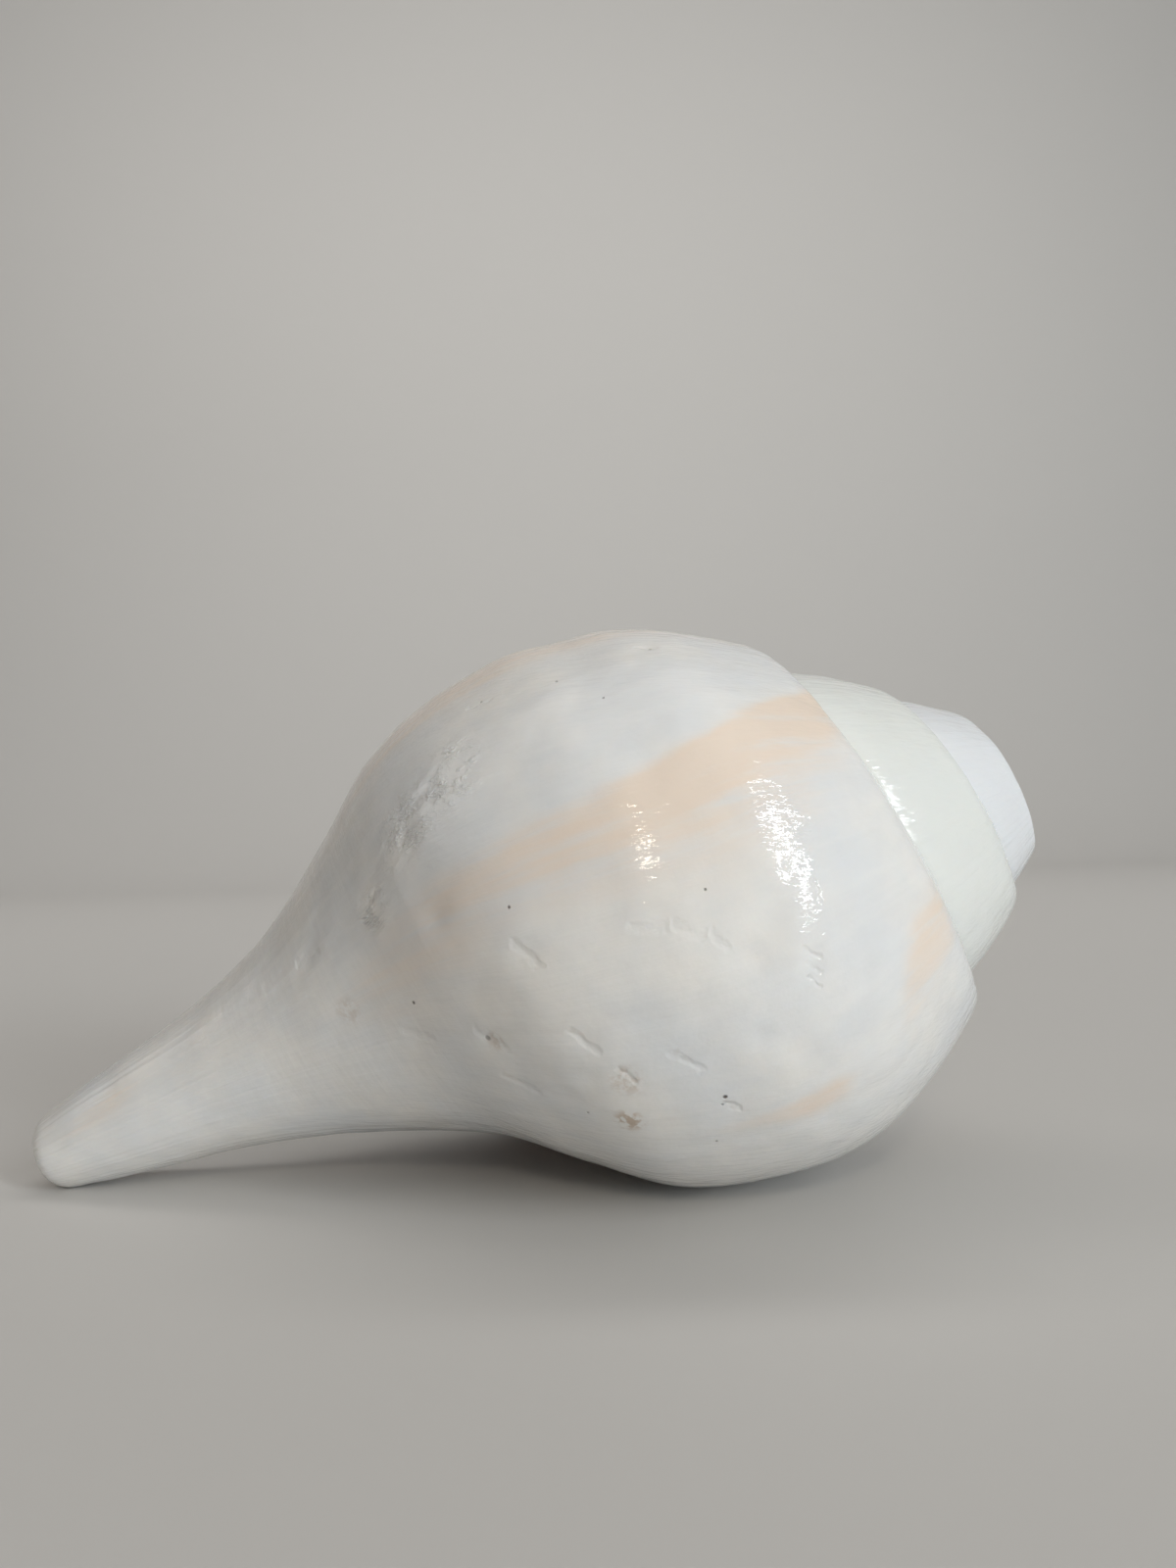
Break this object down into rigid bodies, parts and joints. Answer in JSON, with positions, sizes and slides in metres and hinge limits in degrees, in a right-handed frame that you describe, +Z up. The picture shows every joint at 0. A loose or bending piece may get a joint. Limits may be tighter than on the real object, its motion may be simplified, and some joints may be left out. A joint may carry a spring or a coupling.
{
  "type": "conch shell",
  "caption": "Polished right-handed chank conch lying on its opening, with a sawn spire that serves as the mouthpiece for blowing.",
  "frame": {"origin": "centre of the bounding box's base, on the surface that the shell rests on", "axes": "+X runs from the siphonal canal towards the spire, +Z up, and the lip is on the +Y side"},
  "size_m": [0.1688, 0.1054, 0.0912],
  "materials": {
    "shell": "polished porcelain-like shell"
  },
  "bodies": {
    "root": {"shell": "shell"}
  },
  "joints": []
}
